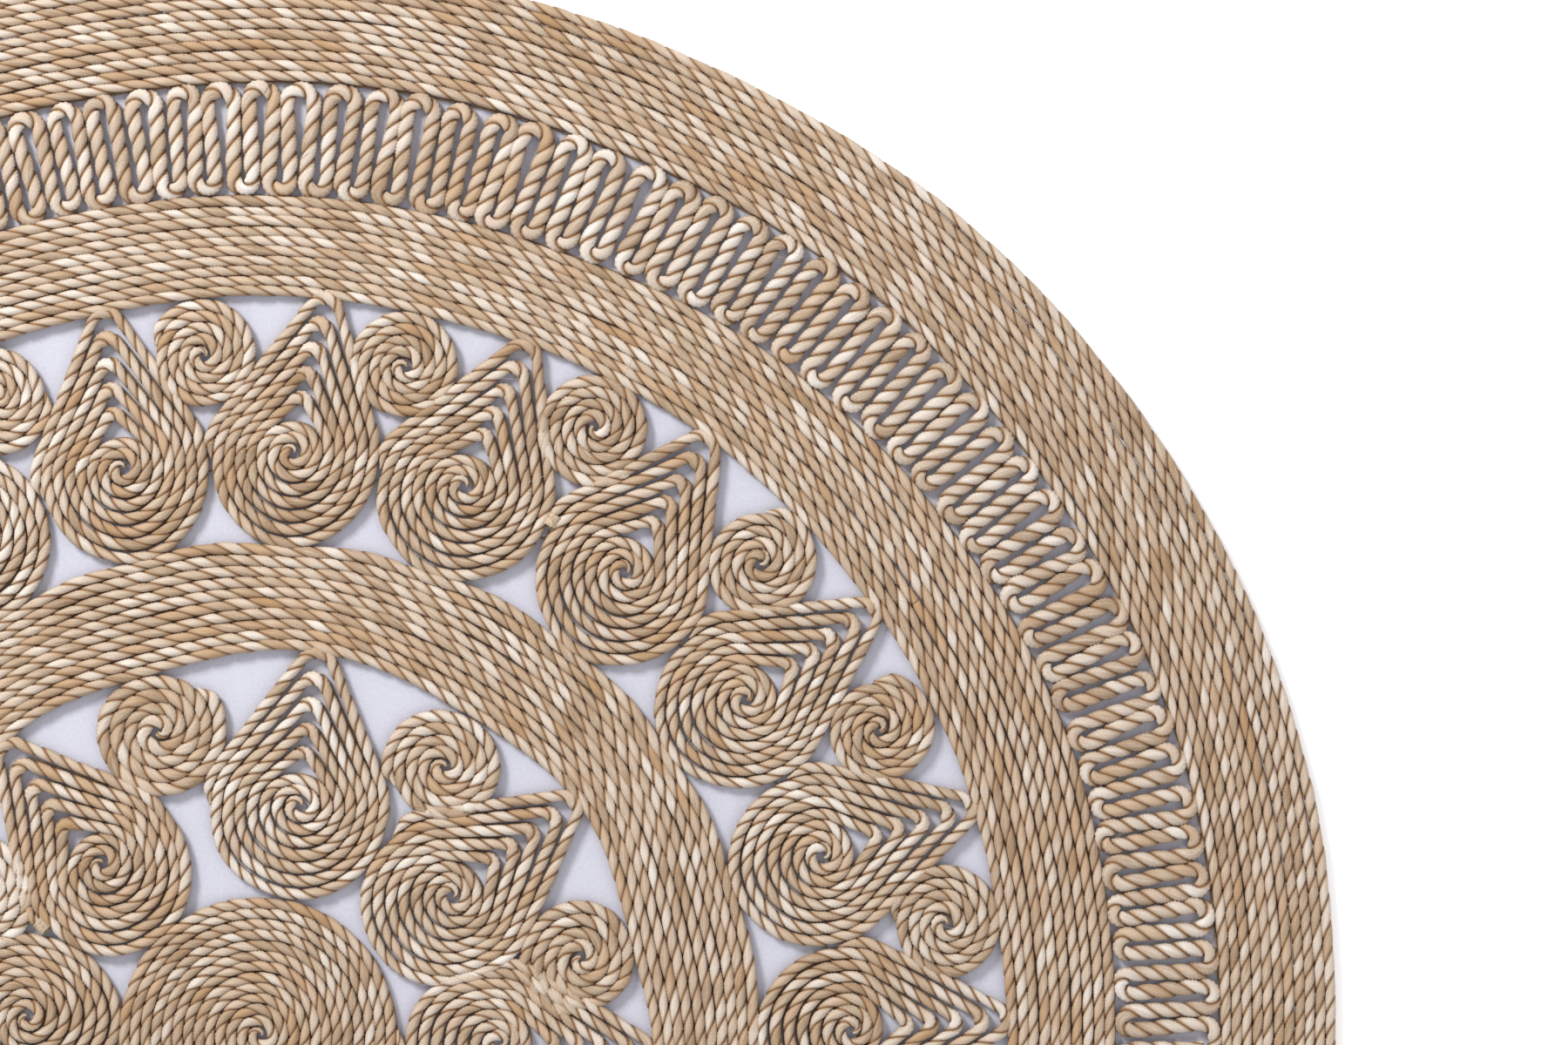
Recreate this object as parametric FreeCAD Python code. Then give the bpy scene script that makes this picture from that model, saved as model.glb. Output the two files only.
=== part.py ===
import FreeCAD, Part
import math
import os

# Round area rug, hand sewn from coiled two-ply jute rope. Lengths are in mm and angles in degrees.
# The rug lies on the floor: z = 0 is the underside, +Z is up, the origin is under its centre.
#
# From the outside in: a border of rope rows, a rope folded back and forth, a middle band,
# a ring of pointed coils with small round coils between their tips, an inner band,
# a smaller ring of the same two coils, and a round coil in the centre.

# ---- rope ----
ROPE_HEIGHT = 9.6           # top of every rope above the floor
ROPE_SEAT = 0.4             # how far a rope is flattened where it lies on the floor
ROW_GAP = 0.2               # air between neighbouring rows
PIECE_GAP = 0.3             # air between two pieces that are sewn to each other
FOLDED_ROPE_WIDTH = 10.0    # the free rope of the folded ring keeps its round section

# ---- bands: radius of the outer edge, number of rows and their pitch ----
RUG_RADIUS = 750.0
BORDER_ROWS = 11
BORDER_PITCH = 7.3
MIDDLE_RADIUS = 593.0
MIDDLE_ROWS = 10
MIDDLE_PITCH = 7.35
INNER_BAND_RADIUS = 346.8
INNER_BAND_ROWS = 10
INNER_BAND_PITCH = 7.76
STEP_AT = 25.0              # where each row of a band begins to step out to the next row
STEP_ANGLE = 24.0           # how long that step takes

# ---- folded ring between the border and the middle band ----
FOLDS = 148
FOLD_SEAM_OFFSET = 0.4      # its two seams, out from the edges of the bands on either side

# ---- pointed coils ----
POINTED_PITCH = 7.5
POINTED_FIRST_RADIUS = 3.7  # innermost turn, on the rope's centreline
POINTED_ROUND_TURNS = 3
POINTED_TIP_TURNS = 5
TIP_RADIUS = 11.0           # rope's centreline round each tip
OUTER_COUNT = 21
OUTER_RADIUS = 403.1        # from the rug's centre to the middle of each round end
OUTER_REACH = 101.4         # from there to the axis of the outermost tip
OUTER_START = 1.3           # direction of the first coil
INNER_COUNT = 8
INNER_RADIUS = 157.2
INNER_REACH = 97.0
INNER_START = -8.0

# ---- small round coils ----
ROUND_PITCH = 7.4
ROUND_HALF_TURNS = 9
OUTER_ROUND_RADIUS = 482.0  # from the rug's centre to the coils' centres
OUTER_ROUND_TURN = 0.0      # turned by this from halfway between two pointed coils
INNER_ROUND_RADIUS = 231.7
INNER_ROUND_TURN = 2.9

# ---- centre coil ----
CENTRE_PITCH = 7.45
CENTRE_HALF_TURNS = 26

# ---- sewing twine ----
TWINE_RADIUS = 0.7
TWINE_HEIGHT = 0.75         # its centre, in the groove under two neighbouring rows
TIE_LENGTH = 10.0
TIE_REACH = 1.0             # pieces further apart than this are not tied to each other

ORIGIN = FreeCAD.Vector(0, 0, 0)
UP = FreeCAD.Vector(0, 0, 1)


def at(distance, direction):
    """Point in the floor plane, given its distance and direction from the origin."""
    angle = math.radians(direction)
    return FreeCAD.Vector(distance * math.cos(angle), distance * math.sin(angle), 0)


# ---- sections and sweeps ----

def flat_sided(edges):
    """Closed outline with each curved edge drawn as flats of about 30 degrees."""
    corners = []
    for edge in edges:
        flats = 1
        if edge.Curve.TypeId == "Part::GeomCircle":
            flats = round(math.degrees(edge.LastParameter - edge.FirstParameter) / 30)
        corners += edge.discretize(Number=flats + 1)[:-1]
    return Part.makePolygon(corners + corners[:1])


def rope_section(start, across, width, flats=False):
    """Outline of a rope that lies on the floor: round above and flattened at its foot.

    The long rows of the bands are drawn with flats in place of the curves.
    """
    half = width / 2
    low = half - ROPE_SEAT
    high = ROPE_HEIGHT - half
    foot_angle = math.acos(low / half)
    foot = half * math.sin(foot_angle)
    bulge_angle = (foot_angle + math.pi / 2) / 2
    bulge = half * math.sin(bulge_angle)
    bulge_height = low - half * math.cos(bulge_angle)

    def point(side, height):
        return start + across * side + UP * height

    edges = [
        Part.makeLine(point(-foot, 0), point(foot, 0)),
        Part.Arc(point(foot, 0), point(bulge, bulge_height), point(half, low)).toShape(),
        Part.Arc(point(half, high), point(0, ROPE_HEIGHT), point(-half, high)).toShape(),
        Part.Arc(point(-half, low), point(-bulge, bulge_height), point(-foot, 0)).toShape(),
    ]
    if high > low + 0.001:
        edges.insert(2, Part.makeLine(point(half, low), point(half, high)))
        edges.insert(4, Part.makeLine(point(-half, high), point(-half, low)))
    return flat_sided(edges) if flats else Part.Wire(edges)


def twine_section(start, across):
    """Six-sided outline of the sewing twine, resting on a flat side."""
    middle = start + UP * TWINE_HEIGHT
    corners = []
    for corner in range(7):
        turned = math.radians(60 * corner)
        corners.append(middle + across * (TWINE_RADIUS * math.cos(turned)) + UP * (TWINE_RADIUS * math.sin(turned)))
    return Part.makePolygon(corners)


def sweep(section, path):
    """Solid swept by a section along turns (an axis and an angle) and runs (None and a vector)."""
    faces = [Part.Face(section)]
    for centre, move in path:
        if centre is None:
            faces += section.extrude(move).Faces
            section = section.translated(move)
        else:
            faces += section.revolve(centre, UP, move).Faces
            section = section.rotated(centre, UP, move)
    faces.append(Part.Face(section))
    skin = Part.makeCompound(faces)
    skin.sewShape()
    solid = Part.makeSolid(skin.Shells[0])
    if solid.Volume < 0:
        solid.reverse()
    return solid


def rope(start, across, width, path, flats=False):
    return sweep(rope_section(start, across, width, flats), path)


def twine(start, across, path):
    return sweep(twine_section(start, across), path)


# ---- bands of rope rows ----

def turn_between(begin, end, point, heading):
    """Turn from begin to end that passes one of them, point, along a heading."""
    left = UP.cross(heading)
    chord = begin + end - point * 2
    radius = chord.dot(chord) / (2 * chord.dot(left))
    centre = point + left * radius
    first = begin - centre
    last = end - centre
    return centre, math.degrees(math.atan2(first.cross(last).z, first.dot(last)))


def step_out(radius, pitch):
    """Two turns that carry a row from its own circle to the next one."""
    begin = at(radius, STEP_AT)
    end = at(radius + pitch, STEP_AT + STEP_ANGLE)
    leaving = at(1, STEP_AT + 90)
    arriving = at(1, STEP_AT + STEP_ANGLE + 90)
    chord = end - begin
    spread = 2 * (1 - leaving.dot(arriving))
    along = chord.dot(leaving + arriving)
    length = (math.sqrt(along ** 2 + spread * chord.dot(chord)) - along) / spread
    middle = (begin + leaving * length + end - arriving * length) * 0.5
    return [turn_between(begin, middle, begin, leaving), turn_between(middle, end, end, arriving)]


def band_path(radius, pitch, rows):
    """Rows on circles round the origin, each stepping out to the next at the same place."""
    path = []
    for row in range(rows):
        path.append((ORIGIN, 360 - STEP_ANGLE))
        if row < rows - 1:
            path += step_out(radius + row * pitch, pitch)
    return path


def band(outer_radius, pitch, rows):
    """One rope laid in rows, and the twine in the grooves between them."""
    width = pitch - ROW_GAP
    first = outer_radius - width / 2 - (rows - 1) * pitch
    groove = first + pitch / 2
    begin = STEP_AT + STEP_ANGLE
    across = at(1, begin)
    rows_of_rope = rope(at(first, begin), across, width, band_path(first, pitch, rows), flats=True)
    seam = twine(at(groove, begin), across, band_path(groove, pitch, rows - 1))
    return rows_of_rope, seam


def inner_edge(outer_radius, pitch, rows):
    return outer_radius - rows * pitch + ROW_GAP


# ---- folded ring ----

def folded_ring(inner_radius, outer_radius):
    """One rope folded back and forth between two circles; its two ends lie side by side."""
    half = FOLDED_ROPE_WIDTH / 2
    step = 360.0 / FOLDS
    outer_bend = (outer_radius - half) * math.radians(step) / 4
    inner_bend = (inner_radius + half) * math.radians(step) / 4
    outer_axis = outer_radius - half - outer_bend
    inner_axis = inner_radius + half + inner_bend

    # A leg touches an outer bend on one side and the next inner bend on the other.
    gap = at(inner_axis, step / 2) - at(outer_axis, 0)
    leg = math.sqrt(gap.Length ** 2 - (outer_bend + inner_bend) ** 2)
    lean = math.atan2(outer_bend + inner_bend, leg)
    inwards = math.degrees(math.atan2(gap.y, gap.x) + lean)
    outwards = 180 - inwards + step

    start = at(outer_axis, 0) + at(outer_bend, 90 - inwards)
    path = []
    for fold in range(FOLDS):
        turned = fold * step
        path.append((at(outer_axis, turned), 2 * inwards - 180))
        path.append((None, at(leg, inwards + turned)))
        if fold < FOLDS - 1:
            path.append((at(inner_axis, turned + step / 2), outwards - inwards))
            path.append((None, at(leg, outwards + turned)))
    return rope(start, at(1, 90 - inwards), FOLDED_ROPE_WIDTH, path)


# ---- round coils ----

def coil_path(pitch, half_turns):
    """Half turns about two axes half a pitch apart, each half a pitch wider than the last."""
    axes = [ORIGIN, FreeCAD.Vector(pitch / 2, 0, 0)]
    return [(axes[turn % 2], 180) for turn in range(half_turns)]


def round_coil(pitch, half_turns):
    """A rope wound outwards from its own end, and its twine, centred over the origin."""
    across = FreeCAD.Vector(1, 0, 0)
    coil = rope(across * (pitch / 2), across, pitch - ROW_GAP, coil_path(pitch, half_turns))
    seam = twine(across * pitch, across, coil_path(pitch, half_turns - 2))
    if half_turns % 2:
        centring = FreeCAD.Vector(0, -pitch / 4, 0)
    else:
        centring = FreeCAD.Vector(-pitch / 2, pitch / 4, 0)
    return coil.translated(centring), seam.translated(centring)


def round_coil_radius():
    return ROUND_HALF_TURNS * ROUND_PITCH / 2 + (ROUND_PITCH - ROW_GAP) / 2


# ---- pointed coils ----

def last_turn_radius():
    return POINTED_FIRST_RADIUS + (POINTED_ROUND_TURNS + POINTED_TIP_TURNS - 1) * POINTED_PITCH


def flank_angle(reach):
    """Half angle between the two flanks that run to a tip at this reach."""
    return math.degrees(math.asin((last_turn_radius() - TIP_RADIUS) / reach))


def pointed_path(flank, offset, turns):
    """Round turns, then turns drawn out to a tip; offset moves the path out of the rope's line."""
    foot_axis = FreeCAD.Vector(POINTED_PITCH / 2, 0, 0)
    path = []
    for turn in range(turns):
        radius = POINTED_FIRST_RADIUS + turn * POINTED_PITCH
        if turn < POINTED_ROUND_TURNS:
            path.append((ORIGIN, 180))
        else:
            reach = (radius - TIP_RADIUS) / math.sin(math.radians(flank))
            side = reach * math.cos(math.radians(flank))
            path.append((ORIGIN, flank))
            path.append((None, at(side, 90 + flank)))
            path.append((FreeCAD.Vector(0, reach, 0), 180 - 2 * flank))
            path.append((None, at(side, 270 - flank)))
            path.append((ORIGIN, flank))
        if turn < turns - 1:
            path.append((foot_axis, 180))
    return path


def pointed_coil(reach):
    """A coil drawn out to tips along +Y, its round end centred over the origin, and its twine."""
    flank = flank_angle(reach)
    turns = POINTED_ROUND_TURNS + POINTED_TIP_TURNS
    across = FreeCAD.Vector(1, 0, 0)
    start = across * POINTED_FIRST_RADIUS
    groove = across * (POINTED_PITCH / 2)
    coil = rope(start, across, POINTED_PITCH - ROW_GAP, pointed_path(flank, 0, turns))
    seam = twine(start + groove, across, pointed_path(flank, POINTED_PITCH / 2, turns - 1))
    return coil, seam


# ---- sewing the pieces together ----

def tie(middle, heading):
    """Short straight stitch in the groove where two coils touch."""
    begin = middle - heading * (TIE_LENGTH / 2) + UP * TWINE_HEIGHT
    return Part.makeCylinder(TWINE_RADIUS, TIE_LENGTH, begin, heading)


def flank_ties(radius, reach, round_radius, round_direction, side):
    """Stitch from a coil that points along +Y to a round coil, if that touches its flank."""
    outwards = at(1, 90 - side * (90 - flank_angle(reach)))
    coil_middle = FreeCAD.Vector(0, radius, 0)
    flank_distance = last_turn_radius() + (POINTED_PITCH - ROW_GAP) / 2
    centre = at(round_radius, round_direction) - coil_middle
    room = centre.dot(outwards) - flank_distance - round_coil_radius()
    if room > TIE_REACH:
        return []
    touching = centre - outwards * (round_coil_radius() + room / 2)
    return [tie(coil_middle + touching, UP.cross(outwards))]


def ring_ties(count, radius, reach, round_radius, round_turn, start):
    """Stitches between neighbouring coils of a ring."""
    half = 180.0 / count
    touching = at(radius * math.cos(math.radians(half)), 90 + half)
    ties = [tie(touching, at(1, 90 + half))]
    ties += flank_ties(radius, reach, round_radius, 90 - half + round_turn, 1)
    ties += flank_ties(radius, reach, round_radius, 90 + half + round_turn, -1)
    return [copy for stitch in ties for copy in ring_of(stitch, count, 0, start)]


def twine_ring(radius):
    """Twine that sews the edge of a band to the coils or folds that touch it."""
    return Part.makeTorus(radius, TWINE_RADIUS, UP * TWINE_HEIGHT)


# ---- placing the pieces ----

def ring_of(shape, count, radius, start):
    """Copies spaced evenly round the centre, each with its own +Y pointing outwards."""
    moved = shape.translated(FreeCAD.Vector(0, radius, 0))
    return [moved.rotated(ORIGIN, UP, start - 90 + 360.0 * place / count) for place in range(count)]


def export(name, solids):
    shape = solids[0] if len(solids) == 1 else Part.makeCompound(solids)
    shape.exportStep(os.path.join("parts", name + ".step"))


def export_each(name, solids):
    for place, solid in enumerate(solids):
        export("%s_%02d" % (name, place + 1), [solid])


def build_bands():
    bands = [
        ("border", RUG_RADIUS, BORDER_PITCH, BORDER_ROWS),
        ("middle_band", MIDDLE_RADIUS, MIDDLE_PITCH, MIDDLE_ROWS),
        ("inner_band", INNER_BAND_RADIUS, INNER_BAND_PITCH, INNER_BAND_ROWS),
    ]
    for name, radius, pitch, rows in bands:
        rows_of_rope, seam = band(radius, pitch, rows)
        export(name, [rows_of_rope])
        export(name + "_seam", [seam])


def build_folded_ring():
    inside_border = inner_edge(RUG_RADIUS, BORDER_PITCH, BORDER_ROWS)
    export("folded_ring", [folded_ring(MIDDLE_RADIUS + ROW_GAP, inside_border - ROW_GAP)])
    export("folded_ring_outer_seam", [twine_ring(inside_border - FOLD_SEAM_OFFSET)])
    export("folded_ring_inner_seam", [twine_ring(MIDDLE_RADIUS + FOLD_SEAM_OFFSET)])


def build_ring(name, count, radius, reach, start, round_radius, round_turn):
    coil, seam = pointed_coil(reach)
    export_each(name + "_pointed_coil", ring_of(coil, count, radius, start))
    export(name + "_pointed_seams", ring_of(seam, count, radius, start))
    coil, seam = round_coil(ROUND_PITCH, ROUND_HALF_TURNS)
    round_start = start + 180.0 / count + round_turn
    round_coils = ring_of(coil, count, round_radius, round_start)
    if name == "inner":
        export_each(name + "_round_coil", round_coils)
    else:
        export(name + "_round_coils", round_coils)
    export(name + "_round_seams", ring_of(seam, count, round_radius, round_start))
    export(name + "_ring_ties", ring_ties(count, radius, reach, round_radius, round_turn, start))


def build_centre():
    coil, seam = round_coil(CENTRE_PITCH, CENTRE_HALF_TURNS)
    export("centre_coil", [coil])
    export("centre_coil_seam", [seam])


def build_joining_seams():
    middle_edge = inner_edge(MIDDLE_RADIUS, MIDDLE_PITCH, MIDDLE_ROWS)
    inner_band_edge = inner_edge(INNER_BAND_RADIUS, INNER_BAND_PITCH, INNER_BAND_ROWS)
    centre_edge = (CENTRE_HALF_TURNS + 1) * CENTRE_PITCH / 2 - ROW_GAP / 2
    export("outer_ring_outer_seam", [twine_ring(middle_edge - PIECE_GAP / 2)])
    export("outer_ring_inner_seam", [twine_ring(INNER_BAND_RADIUS + PIECE_GAP / 2)])
    export("inner_ring_outer_seam", [twine_ring(inner_band_edge - PIECE_GAP / 2)])
    export("inner_ring_inner_seam", [twine_ring(centre_edge + PIECE_GAP)])


def main():
    os.makedirs("parts", exist_ok=True)
    build_bands()
    build_folded_ring()
    build_ring("outer", OUTER_COUNT, OUTER_RADIUS, OUTER_REACH, OUTER_START,
               OUTER_ROUND_RADIUS, OUTER_ROUND_TURN)
    build_ring("inner", INNER_COUNT, INNER_RADIUS, INNER_REACH, INNER_START,
               INNER_ROUND_RADIUS, INNER_ROUND_TURN)
    build_centre()
    build_joining_seams()


main()
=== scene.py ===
import math
from types import SimpleNamespace

import bpy
import numpy as np
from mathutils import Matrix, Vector


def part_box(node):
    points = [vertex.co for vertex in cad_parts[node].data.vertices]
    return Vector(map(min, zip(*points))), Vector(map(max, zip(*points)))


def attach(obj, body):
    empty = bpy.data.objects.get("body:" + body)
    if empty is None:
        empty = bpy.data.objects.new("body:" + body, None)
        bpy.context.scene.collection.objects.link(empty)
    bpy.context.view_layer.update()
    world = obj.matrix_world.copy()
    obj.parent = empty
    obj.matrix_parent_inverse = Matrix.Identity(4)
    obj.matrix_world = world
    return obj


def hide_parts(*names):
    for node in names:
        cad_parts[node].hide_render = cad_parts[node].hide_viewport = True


# The looks of a round jute rope rug. Every rope is a real two-ply rope, swept along its own course.
# Lengths are in metres and angles in degrees. Courses follow those of the CAD solids; the coils lean
# and vary in size as in a hand-made rug. One gentle wander is then added to all courses alike, so
# that neighbours stay side by side.

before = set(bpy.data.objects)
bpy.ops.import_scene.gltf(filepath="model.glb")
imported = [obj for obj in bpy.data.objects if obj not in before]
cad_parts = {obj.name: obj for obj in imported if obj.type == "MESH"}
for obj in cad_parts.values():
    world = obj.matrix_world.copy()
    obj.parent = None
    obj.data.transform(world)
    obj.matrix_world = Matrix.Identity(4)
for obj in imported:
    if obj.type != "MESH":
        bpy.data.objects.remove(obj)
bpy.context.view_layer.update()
TAU = 2 * math.pi

# ---- sizes, read from the frame ----
RUG_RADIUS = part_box("border")[1].x
MIDDLE_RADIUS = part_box("middle_band")[1].x
INNER_BAND_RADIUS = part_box("inner_band")[1].x
ROPE_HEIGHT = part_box("border")[1].z
OUTER_COUNT = sum(name.startswith("outer_pointed_coil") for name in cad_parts)
INNER_COUNT = sum(name.startswith("inner_pointed_coil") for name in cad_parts)

# ---- rows of the bands ----
BORDER_ROWS = 11
BORDER_PITCH = 0.0073
MIDDLE_ROWS = 10
MIDDLE_PITCH = 0.00735
INNER_BAND_ROWS = 10
INNER_BAND_PITCH = 0.00776
STEP_AT = 205.0             # where the rows step out to the next one
STEP_ANGLE = 24.0           # how far round the step takes
ROPE_GAP = 0.0002           # left between neighbouring CAD ropes

# ---- folded ring ----
FOLDS = 148
FOLDED_WIDTH = 0.0100
FOLDED_PIECES = 4

# ---- pointed coils ----
POINTED_PITCH = 0.0075
POINTED_FIRST = 0.0037
POINTED_ROUND_TURNS = 3
POINTED_TURNS = 8
TIP_PLACES = (0.0450, 0.0610, 0.0775, 0.0945, 0.1120)     # of the pointed turns, from the coil's middle
TIP_RADII = (0.0040, 0.0042, 0.0050, 0.0070, 0.0100)
POINTED_SIZE = 1.045
FLANK_SWELL = 0.10          # how much wider than straight the flanks are at half their height
HEART_SHIFT = 0.0080        # how far the first turn's centre lies towards the tip
LEAN_HEIGHT = 0.11          # the height at which a lean is stated
TOUCHING = 0.128            # coils whose middles are nearer than this touch, and are tied
WRAPPED_EVERY = 7           # one coil in this many has its rope end wrapped

# ---- round coils ----
ROUND_PITCH = 0.0075
ROUND_HALF_TURNS = 9
CENTRE_PITCH = 0.00745
CENTRE_HALF_TURNS = 26

# ---- rings of coils ----
# Shifts are how far coils stray from even spacing, leans are how far their tips lean sideways as a
# share of LEAN_HEIGHT, and shortening is how far out the tips are, as a share.
OUTER_RING = SimpleNamespace(
    name="outer", count=OUTER_COUNT, seed=1000,
    radius=0.4031, start=1.3, shortening=1.0,
    shifts=(0.0,) * OUTER_COUNT,
    leans=(-0.02, 0.02, 0.0, -0.07, 0.05, 0.11, 0.10),
    round_radius=0.4820, round_turn=0.0,
    round_shifts=(0.0,) * OUTER_COUNT,
    round_sizes=None,
    round_nodes=["outer_round_coils"] * OUTER_COUNT,
    seam_share=0.992,
)
INNER_RING = SimpleNamespace(
    name="inner", count=INNER_COUNT, seed=2000,
    radius=0.1572, start=-8.0, shortening=0.96,
    shifts=(6.0, 1.0, 0.0, 6.5, 5.0, 3.0, 1.0, 3.0),
    leans=(0.02, 0.03, 0.03, 0.08),
    round_radius=0.2270, round_turn=2.9,
    round_shifts=(-3.6, -4.9, 0.0, 1.3, 3.0, 2.0, -1.0, 1.0),
    round_sizes=(1.17, 1.14, 1.28, 1.20, 1.16, 1.22, 1.15, 1.20),
    round_nodes=["inner_round_coil_%02d" % (number + 1) for number in range(INNER_COUNT)],
    seam_share=0.925,
)

# ---- rope ----
SIDES = 12                  # points round a rope; a multiple of four puts two of them in the grooves
TIP_SWELL = 0.50            # a rope opens out this much where it is bent round a tip
RING_STEP = 0.0024          # distance between rings along a rope
COURSE_STEP = 0.0006        # distance between points of a course's arcs
CREASE = 0.34               # depth of the crease between the two plies, as a share of the radius
FOLDED_CREASE = 0.42
PLUMP = 3.0                 # higher is a narrower crease
FOLDED_PLUMP = 2.0
FULLNESS = 1.08             # a rope is this much wider than the distance from row to row
POINTED_FULLNESS = 1.10
FOLDED_FULLNESS = 1.16
THINNING = 0.014            # length over which the end of a rope thins out
BAND_THINNING = 0.060
PRESSED = 2.1               # above 2, a rope's outline is squarer than an ellipse
ROW_LAY = 0.0320            # rope length in which a ply goes once round: rows of the bands
COIL_LAY = 0.0265
FOLDED_LAY = 0.0262

# ---- threads ----
TWINE_THICK = 0.0007        # radius of the sewing twine
TWINE_LEVEL = 0.0011        # height of its middle above the floor
WRAP_THICK = 0.0009         # radius of the fibre wound round a rope's end
WRAP_TURNS = 6
FIBRE_COUNT = 500
OUTER_SEAM_SHARE = 1.006    # a ring's outer twine is drawn out this much, to stay below moved coils

# ---- camera: straight above a point to the right of the centre and behind it ----
VIEW_X = 0.3640
VIEW_Y = 0.3599
VIEW_WIDTH = 1.0969
VIEW_HEIGHT = 2.6
SENSOR = 36.0


# ---- small tools ----

def smooth_noise(s, period, rng):
    """Values between -1 and 1 that change smoothly, about once in each period."""
    count = int((s[-1] - s[0]) / period) + 3
    knots = rng.uniform(-1, 1, count)
    place = (s - s[0]) / period
    low = place.astype(int)
    part = place - low
    part = part * part * (3 - 2 * part)
    return knots[low] * (1 - part) + knots[low + 1] * part


def ease(part):
    part = np.clip(part, 0, 1)
    return part * part * (3 - 2 * part)


def wander(points):
    """Moves points of the floor plane the way a hand-laid rug strays from its pattern."""
    x, y = points[:, 0], points[:, 1]
    r = np.hypot(x, y)
    a = np.arctan2(y, x)
    share = r / RUG_RADIUS
    out = 0.0022 * np.sin(2 * a + 0.9) * share + 0.0016 * np.sin(5 * a + 2.0 + 3 * share) * share
    out += 0.0010 * np.sin(11 * a + 5 * share) * share
    # The middle band and the folded ring stray together from the border's inner edge.
    out += 0.0042 * np.sin(3 * a + 0.6) * np.exp(-((r - 0.593) / 0.045) ** 2)
    # Tips and coils push the inner band out into scallops.
    tips = np.cos(np.radians(INNER_COUNT * (np.degrees(a) - INNER_RING.start)))
    out += 0.0034 * tips * np.exp(-((r - 0.272) / 0.040) ** 2)
    bodies = np.cos(np.radians(OUTER_COUNT * (np.degrees(a) - OUTER_RING.start)))
    out -= 0.0014 * bodies * np.exp(-((r - 0.347) / 0.022) ** 2)
    turn = 0.0022 * np.sin(3 * a + 1.1 + 4 * share) + 0.0016 * np.sin(7 * a + 9 * share)
    turn -= 0.0050 * ease((r - 0.40) / 0.12) * ease((0.60 - r) / 0.08) * np.sin(a) ** 2
    rr = r + out
    aa = a + turn / np.maximum(r, 0.05) * ease(r / 0.06)
    return np.stack([rr * np.cos(aa), rr * np.sin(aa)], 1)


def resample(points, step):
    """The same course with points a step apart, and how far along it each one is."""
    gaps = np.hypot(*np.diff(points, axis=0).T)
    keep = np.concatenate([[True], gaps > 1e-7])
    points = points[keep]
    s = np.concatenate([[0], np.cumsum(np.hypot(*np.diff(points, axis=0).T))])
    count = max(4, int(round(s[-1] / step)))
    t = np.linspace(0, s[-1], count + 1)
    return np.stack([np.interp(t, s, points[:, 0]), np.interp(t, s, points[:, 1])], 1), t


# ---- courses: the line that each rope follows, in the floor plane ----

def polar(radius, degrees):
    return np.array([radius * math.cos(math.radians(degrees)), radius * math.sin(math.radians(degrees))])


def turned_by(points, angle):
    """Points of the floor plane turned about the origin, by one angle or by one each."""
    cos, sin = np.cos(angle), np.sin(angle)
    x, y = points[..., 0], points[..., 1]
    return np.stack([x * cos - y * sin, x * sin + y * cos], -1)


def band_course(first, pitch, rows, rng):
    """All rows of a band as one line; each row ends with a gentle step out to the next one."""
    step = 0.25
    angle = np.arange(0, 360.0 * rows - STEP_ANGLE + step / 2, step)
    row = np.floor(angle / 360.0)
    stepping = (angle - 360.0 * row - (360.0 - STEP_ANGLE)) / STEP_ANGLE
    radius = first + pitch * (row + ease(stepping))
    radius = radius + 0.00035 * smooth_noise(angle, 9.0, rng)
    turned = np.radians(angle + STEP_AT + STEP_ANGLE)
    return np.stack([radius * np.cos(turned), radius * np.sin(turned)], 1)


def round_course(pitch, half_turns):
    """A coil of half circles, about two centres in turn."""
    centres = [np.zeros(2), np.array([pitch / 2, 0])]
    here = np.array((pitch / 2, 0.0))
    points = [np.array([here])]
    for turn in range(half_turns):
        arm = here - centres[turn % 2]
        count = max(3, int(math.pi * np.hypot(*arm) / COURSE_STEP))
        angle = np.radians(np.linspace(0, 180.0, count + 1)[1:])
        points.append(centres[turn % 2] + turned_by(arm, angle))
        here = points[-1][-1]
    points = np.concatenate(points)
    if half_turns % 2:
        return points + np.array([0, -pitch / 4])
    return points + np.array([-pitch / 2, pitch / 4])


def arc(centre, radius, begin, end):
    """Points round a centre; centre and radius may be pairs, for their values at the two ends."""
    first, last = np.broadcast_to(radius, 2)
    count = max(4, int(abs(math.radians(end - begin)) * max(first, last) / COURSE_STEP))
    part = np.linspace(0, 1, count + 1)
    angle = np.radians(begin + (end - begin) * part)
    centre = np.array(centre, float)
    middle = centre if centre.ndim == 1 else centre[0] + (centre[1] - centre[0]) * part[:, None]
    ray = np.stack([np.cos(angle), np.sin(angle)], 1)
    return middle + ray * (first + (last - first) * part)[:, None]


def pointed_course(shortening):
    """A coil whose outer turns are drawn out to a tip along +Y."""
    points = []
    for turn in range(POINTED_TURNS):
        radius = POINTED_FIRST + turn * POINTED_PITCH
        centre = np.array([0, HEART_SHIFT * (1 - turn / (POINTED_TURNS - 1))])
        if turn < POINTED_ROUND_TURNS:
            points.append(arc(centre, radius, 0, 180))
        else:
            small = TIP_RADII[turn - POINTED_ROUND_TURNS]
            tip = np.array([0, TIP_PLACES[turn - POINTED_ROUND_TURNS] * shortening - small])
            flank = math.degrees(math.asin((radius - small) / (tip[1] - centre[1])))
            points.append(arc(centre, radius, 0, flank))
            points.append(arc(tip, small, flank, 180 - flank))
            points.append(arc(centre, radius, 180 - flank, 180))
        if turn < POINTED_TURNS - 1:
            after = np.array([0, HEART_SHIFT * (1 - (turn + 1) / (POINTED_TURNS - 1))])
            points.append(arc((centre, after), (radius, radius + POINTED_PITCH), 180, 360))
    points = np.concatenate(points)
    # The flanks swell a little between the body and the tip.
    height = np.clip(points[:, 1] / TIP_PLACES[-1], 0, 1)
    points[:, 0] *= 1 + FLANK_SWELL * np.sin(math.pi * height)
    return points


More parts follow.
